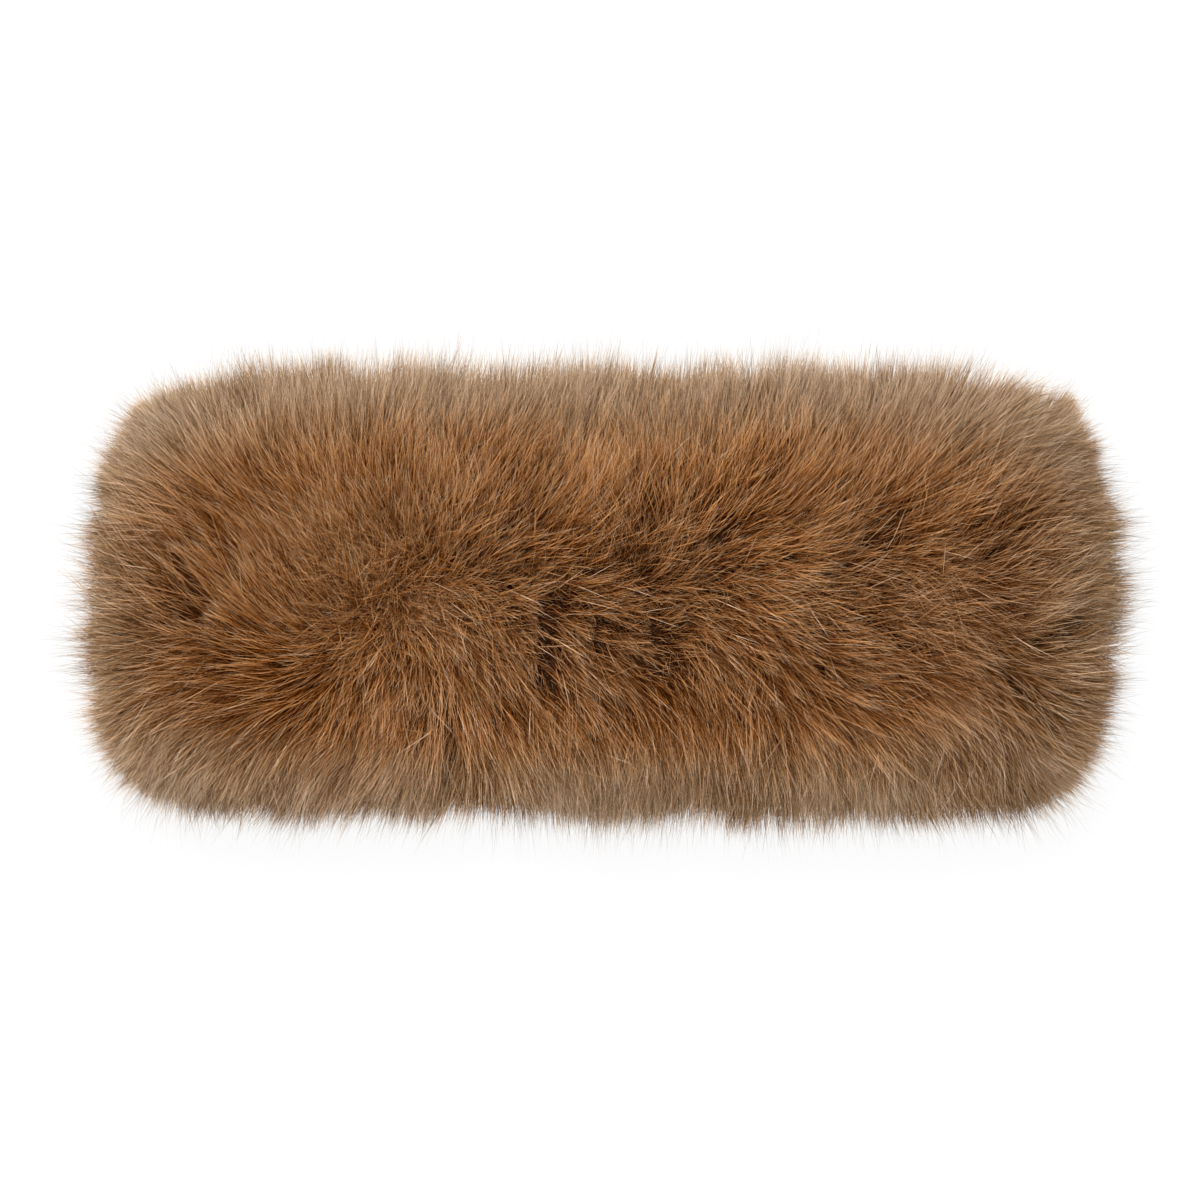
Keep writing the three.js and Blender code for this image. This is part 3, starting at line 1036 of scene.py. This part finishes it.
def grow_rim_hairs(seed, count, width, shortest, longest, ash_and_painted_shade, stretch=(0, FOLD_MIDDLE)):
    """Loose hairs round the rims and folds, from the shortest to the longest share of their full length."""
    rng = np.random.default_rng(seed)
    at_far_end = rng.uniform(0, 1, count) < AT_FAR_END
    share = np.where(at_far_end, rng.uniform(FAR_END, 1, count), rng.uniform(0, 1, count))
    s = (stretch[0] + (stretch[1] - stretch[0]) * share) * rng.choice([-1.0, 1.0], count)
    a = np.abs(s)
    # They stand this far in from the rim at most, as a share of half the height: anywhere on a fold.
    deepest = np.where(a > BACK_START, 0.15, np.where(a > HALF_RUN, 1.0, 0.4))
    from_rim = deepest * rng.uniform(0, 1, count)
    level = root_level(rng, s, rng.choice([-1.0, 1.0], count) * HALF_HEIGHT * (1 - from_rim), LOCK_JITTER)
    longest = longest + 0.12 * end_nearness(level["place"])
    length = full_length(level) * rng.uniform(shortest, longest, count) * jagged_at(level["place"])
    path = grow_level(level, length)
    path[..., 2] = np.maximum(path[..., 2], FLOOR_GAP)
    light, ash = shade_at(path)
    # Painted shade: rim hairs are capped in lightness and darkened; the same share also fades them to ash.
    light = np.minimum(light, MOST_RIM_LIGHT) - RIM_PAINTED_SHADE * ash_and_painted_shade + 0.2 * level["tone"]
    return loose_hairs(level, path, tone_of(light, ash + ash_and_painted_shade), width)


def free_level(rng, s, y, turn, bend=None):
    """Roots whose hairs turn by any angle, by a spread in degrees, instead of keeping to the lie."""
    level = root_level(rng, s, y, 5)
    level["turn"] = rng.normal(0, math.radians(turn), len(s))
    if bend:
        level["bend"] = rng.normal(0, math.radians(bend), len(s))
    return level


def grow_crossing_hairs(seed, count, width):
    """Short hairs that lean any way over the point that the others spread from."""
    rng = np.random.default_rng(seed)
    angle, radius = rng.uniform(0, 2 * math.pi, count), 15 * MM * rng.uniform(0, 1, count) ** 0.6
    level = free_level(rng, PARTING[0] + radius * np.cos(angle), 3 * MM + radius * np.sin(angle), 70)
    level["lean"] = rng.uniform(math.radians(14), math.radians(44), count)
    path = grow_level(level, full_length(level) * rng.uniform(0.7, 0.98, count))
    return loose_hairs(level, path, tone_of(0.6 + 0.3 * level["tone"], 0), width)


def grow_stray_hairs(seed, count, width):
    """Fine hairs that cross the lie at an angle, a little lighter than those below them."""
    rng = np.random.default_rng(seed)
    s = rng.uniform(-HALF_RUN, HALF_RUN, count)
    y = HALF_HEIGHT * rng.uniform(-0.95, 0.95, count)
    level = free_level(rng, s, y, 30, 20)
    path = grow_level(level, full_length(level) * rng.uniform(0.92, 1.06, count))
    light, ash = shade_at(path)
    return loose_hairs(level, path, tone_of(light + 0.05 + 0.3 * level["tone"], ash), width)


def grow_guard_hairs(seed, count, width):
    """Long, pale, nearly straight hairs, which ignore the lie once they have left the coat."""
    rng = np.random.default_rng(seed)
    s = rng.uniform(-HALF_RUN, HALF_RUN, count)
    y = HALF_HEIGHT * rng.uniform(-0.9, 0.9, count)
    level = free_level(rng, s, y, 32, 14)
    lean = np.clip(level["lean"], 0.6, 0.9)
    level["lean"] = lean
    length = np.minimum(full_length(level) * rng.uniform(1.1, 1.35, count), 34 * MM)
    path = grow(level["place"], level["way"], lean, length, level["turn"], level["bend"], most_turn=0.0)
    return loose_hairs(level, path, tone_of(0.86 + 0.12 * level["tone"], 0.6), width, pale_from=0.6)


BACK_RIMS = (BACK_START, LOOP_LENGTH / 2)
link_fur("fur_wisps", grow_rim_hairs(7, 8500, 0.08 * MM, 1.0, 1.3, 1), 7, fine_fibre)
link_fur("rim_fringe", grow_rim_hairs(11, 15000, 0.11 * MM, 0.84, 1.06, 0.6), 11)
link_fur("back_rim_fringe", grow_rim_hairs(12, 9000, 0.22 * MM, 0.8, 1.05, 0.2, BACK_RIMS), 12)
link_fur("crossing_hairs", grow_crossing_hairs(9, 3000, 0.2 * MM), 9)
link_fur("stray_hairs", grow_stray_hairs(13, 3000, 0.12 * MM), 13)
link_fur("guard_hairs", grow_guard_hairs(8, 360, 0.17 * MM), 8)

# %% [markdown]
# ## The underwool
#
# Between the long hairs stands short, dense, dark wool that nobody sees as hairs. It is what makes the
# depth of a gap look brown and soft instead of showing the cloth. Its near-black colour is partly the wool's
# own and partly painted shade for that depth. Short hairs could make it too, at the price of as many
# triangles again, so it is one closed form at half the depth of the fur.
#
# A flat grid is its start: one way runs round the loop, the other round the section, and its ends meet.

# %% Underwool
WOOL_ALONG = 150
WOOL_CREST = 44  # rows over the outer side, from rim to rim
WOOL_SEAT = 6  # rows back along the cloth
WOOL_SHARE = 0.46  # of the fur's depth
FUR_SEAT = 0.3 * MM  # between the wool and the cloth
WELD = 0.02 * MM
CURLS = 900.0  # in a metre: a curl of fibre each 1.1 mm


def grid_numbers(bm):
    """The two grid numbers of every vertex, each from 0 to 1, read off the flat grid."""
    flat = np.array([v.co[:2] for v in bm.verts])
    return (flat[:, 0] + 1) / 2, (flat[:, 1] + 1) / 2


def link_bmesh(name, bm, material):
    print("open edges", sum(1 for e in bm.edges if len(e.link_faces) != 2), "in", end=" ")
    mesh = bpy.data.meshes.new(name)
    bm.to_mesh(mesh)
    bm.free()
    mesh.materials.append(material)
    return link_piece(name, mesh)


def underwool_and_shade_material():
    """Crimped modacrylic, nearly black brown with no gloss at all: partly its own colour, partly painted
    shade.
    """
    material, tree, shader = new_material("modacrylic_underwool_painted_shade", roughness=0.95, specular=0.05)
    at = add_node(tree, "ShaderNodeTexCoord").outputs["Object"]
    curls = add_node(tree, "ShaderNodeTexNoise", {0: at, "Scale": CURLS, "Detail": 2.0}).outputs[0]
    # Painted shade: this near-black ramp stands in for the shade deep in the fur, on the wool's own brown.
    shade = ramp(tree, curls, [(0.3, "0f0601"), (0.5, "1f0f05"), (0.7, "331c0b")])
    tree.links.new(shade, shader.inputs["Base Color"])
    shape_surface(tree, shader, curls, 0.6, 0.8 * MM)
    return material


def wool_outside(s, y):
    """The outer side of the wool over the cloth at (s, y): part of the way to the fur's form, and rough."""
    place, way = on_rimmed_loop(s, y)
    place = place + way * (WALL / 2 + FUR_SEAT)
    reach = np.empty(len(s))
    for i, (at, out) in enumerate(zip(place, way)):
        reach[i] = outer_form.ray_cast(Vector(at + out * MM), Vector(out), RAY_LENGTH)[3] or 0.0
    round_x = place[:, 0] + 3 * place[:, 2]  # tells the front from the back, and has no jump at the ends
    rough = 1 + 0.16 * soft_noise(round_x, y, 5 * MM, 21) + 0.08 * soft_noise(round_x, y, 2 * MM, 22)
    return place + way * (reach * WOOL_SHARE * rough)[:, None]


def make_underwool():
    bm = bmesh.new()
    bmesh.ops.create_grid(bm, x_segments=WOOL_ALONG, y_segments=WOOL_CREST + WOOL_SEAT, size=1)
    u, v = grid_numbers(bm)
    s = (u - 0.5) * LOOP_LENGTH
    row = np.rint(v * (WOOL_CREST + WOOL_SEAT))
    outside = wool_outside(s, EDGE * np.sin(np.clip(row / WOOL_CREST * 2 - 1, -1, 1) * math.pi / 2))
    back = np.where(row == 0, 1, np.clip((row - WOOL_CREST) / WOOL_SEAT, 0, 1))
    seat, seat_way = on_loop(s, EDGE * (1 - 2 * back))
    seat = seat + seat_way * (WALL / 2 + FUR_SEAT)
    on_seat = (row == 0) | (row >= WOOL_CREST)
    for vertex, co in zip(bm.verts, np.where(on_seat[:, None], seat, outside)):
        vertex.co = co
    bmesh.ops.remove_doubles(bm, verts=bm.verts, dist=WELD)
    bmesh.ops.recalc_face_normals(bm, faces=bm.faces)
    return link_bmesh("fur_underwool", bm, underwool_and_shade_material())


underwool = make_underwool()
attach(underwool, "root")
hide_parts("fur_pile")

# %% [markdown]
# ## The knitted band
#
# The fur grows on a knitted ground cloth. The cloth is one strip, turned in at both rims by a hem and
# closed to a loop. A cloth simulation could fold it, but would come out a little different each time. So it
# starts as a flat grid in the strip's own measures, which also lets its knit be drawn flat, and one
# function folds it: across first, for the hems, and then along, for the loop.

# %% Knitted band
CLOTH = 1.1 * MM
HEM = 9 * MM
HEM_RADIUS = 0.6 * MM
HEM_TURN = math.pi * HEM_RADIUS
HALF_FLAT = HALF_HEIGHT - WALL / 2  # the part of the half width that isn't turned in
STRIP_WIDTH = 2 * (HALF_FLAT + HEM_TURN + HEM)
STITCH_WIDTH = 1.3  # in mm, as the knit's map is
STITCH_HEIGHT = 1.0


def joined_lines(start, *stretches):
    """Grid lines from a start over stretches, each given by its end and its segments."""
    lines = [start]
    for end, segments in stretches:
        lines += list(np.linspace(lines[-1], end, segments + 1)[1:])
    return np.array(lines)


def turned_in(q):
    """Where a point q across the strip lies once the hems are turned in: y, and how far out of the wall."""
    past = np.abs(q) - HALF_FLAT
    angle = np.clip(past / HEM_RADIUS, 0, math.pi)
    y = np.where(past < 0, np.abs(q), HALF_FLAT + HEM_RADIUS * np.sin(angle))
    y = y - np.maximum(0, past - HEM_TURN)
    return np.sign(q) * y, HEM_RADIUS * np.cos(angle)


def knit_material():
    """Polyester jersey, dry and matt, whose loops stand in rows. Its own brown is painted lighter on
    the loops and darker in the gaps between them: painted light and shade, beside the bump.
    """
    material, tree, shader = new_material("polyester_jersey_knit", roughness=0.92, specular=0.5)
    uv = add_node(tree, "ShaderNodeUVMap", uv_map="knit").outputs[0]
    rows = []
    for direction, stitch in (("X", STITCH_WIDTH), ("Y", STITCH_HEIGHT)):
        scale = math.tau / (20 * stitch)  # the wave node has 20 waves in each tau at a scale of 1
        inputs = {0: uv, "Scale": scale, "Distortion": 0.4}
        rows.append(add_node(tree, "ShaderNodeTexWave", inputs, bands_direction=direction).outputs[1])
    loops = add_node(tree, "ShaderNodeMath", {0: rows[0], 1: rows[1]}, operation="MULTIPLY").outputs[0]
    # Painted light and shade: lighter on the loops, darker in the gaps between them.
    shade = ramp(tree, loops, [(0.0, "4a3626"), (0.5, "7c5f49"), (1.0, "8e705a")])
    tree.links.new(shade, shader.inputs["Base Color"])
    shape_surface(tree, shader, loops, 0.5, 0.3 * MM)
    return material


def make_band():
    half = LOOP_LENGTH / 2
    fold = HALF_RUN + FOLD_ARC
    s_lines = joined_lines(-half, (-fold, 24), (-HALF_RUN, 12), (HALF_RUN, 48), (fold, 12), (half, 24))
    turn, edge = HALF_FLAT + HEM_TURN, STRIP_WIDTH / 2
    q_lines = joined_lines(-edge, (-turn, 4), (-HALF_FLAT, 5), (HALF_FLAT, 16), (turn, 5), (edge, 4))
    bm = bmesh.new()
    bmesh.ops.create_grid(bm, x_segments=len(s_lines) - 1, y_segments=len(q_lines) - 1, size=1)
    u, v = grid_numbers(bm)
    s = s_lines[np.rint(u * (len(s_lines) - 1)).astype(int)]
    q = q_lines[np.rint(v * (len(q_lines) - 1)).astype(int)]
    knit = bm.loops.layers.uv.new("knit")
    for face in bm.faces:
        for loop in face.loops:
            loop[knit].uv = (s[loop.vert.index] / MM, q[loop.vert.index] / MM)
    y, off = turned_in(q)
    place, way = on_loop(s, y)
    for vertex, co in zip(bm.verts, place + way * off[:, None]):
        vertex.co = co
    bmesh.ops.remove_doubles(bm, verts=bm.verts, dist=WELD)
    bmesh.ops.recalc_face_normals(bm, faces=bm.faces)
    bmesh.ops.solidify(bm, geom=bm.faces[:], thickness=CLOTH)
    bmesh.ops.recalc_face_normals(bm, faces=bm.faces)
    return link_bmesh("knitted_band", bm, knit_material())


band = make_band()
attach(band, "root")
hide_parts("backing_band")
print("strip", round(LOOP_LENGTH / MM, 1), "by", round(STRIP_WIDTH / MM, 1), "mm flat")

# %% [markdown]
# ## Floor and light
#
# Goods like these are laid on a sheet of opal acrylic that is lit from below, which leaves a white ground
# and a faint shadow. One large soft lamp from the top side gives the fur its form, and even light from all
# round keeps its gaps readable. A single small lamp would be easier, but its hard shadows would turn every
# hair into a line.

# %% Floor and light
FLOOR_RADIUS = 6.0
FLOOR_GLOW = 0.93
KEY_PLACE = (-0.25, 0.6, 1.75)
KEY_SIZE = 0.9
KEY_POWER = 58
SKY_DIM, SKY_BRIGHT = 1.0, 1.15


def make_floor():
    """Backlit opal acrylic: it glows nearly white by itself, so the wrap's shadow on it is faint."""
    bm = bmesh.new()
    bmesh.ops.create_circle(bm, cap_ends=True, segments=64, radius=FLOOR_RADIUS)
    mesh = bpy.data.meshes.new("floor")
    bm.to_mesh(mesh)
    bm.free()
    floor = bpy.data.objects.new("floor", mesh)
    bpy.context.scene.collection.objects.link(floor)
    material, _, shader = new_material("backlit_opal_acrylic", roughness=0.9, specular=0.1)
    shader.inputs["Base Color"].default_value = linear("3a3a3a")
    shader.inputs["Emission Color"].default_value = linear("ffffff")
    shader.inputs["Emission Strength"].default_value = FLOOR_GLOW
    mesh.materials.append(material)


def make_key_light():
    """A round soft lamp above the +Y side, which looks at the middle of the wrap."""
    data = bpy.data.lights.new("key", "AREA")
    data.shape = "DISK"
    data.size = KEY_SIZE
    data.energy = KEY_POWER
    light = bpy.data.objects.new("key", data)
    light.location = KEY_PLACE
    light.rotation_euler = (-Vector(KEY_PLACE)).to_track_quat("-Z", "Y").to_euler()
    bpy.context.scene.collection.objects.link(light)


def make_sky():
    """Even light from all round, a little stronger from +Y."""
    world = bpy.data.worlds.new("studio")
    world.use_nodes = True
    tree = world.node_tree
    way = add_node(tree, "ShaderNodeTexCoord").outputs["Generated"]
    north = add_node(tree, "ShaderNodeSeparateXYZ", {0: way}).outputs[1]
    inputs = {0: north, 1: -1.0, 2: 1.0, 3: SKY_DIM, 4: SKY_BRIGHT}
    strength = add_node(tree, "ShaderNodeMapRange", inputs).outputs[0]
    background = tree.nodes["Background"]
    background.inputs[0].default_value = (1, 1, 1, 1)
    tree.links.new(strength, background.inputs[1])
    bpy.context.scene.world = world


make_floor()
make_key_light()
make_sky()
bpy.context.scene.view_settings.view_transform = "Standard"
print("key light", KEY_POWER, "W,", KEY_SIZE, "m wide")
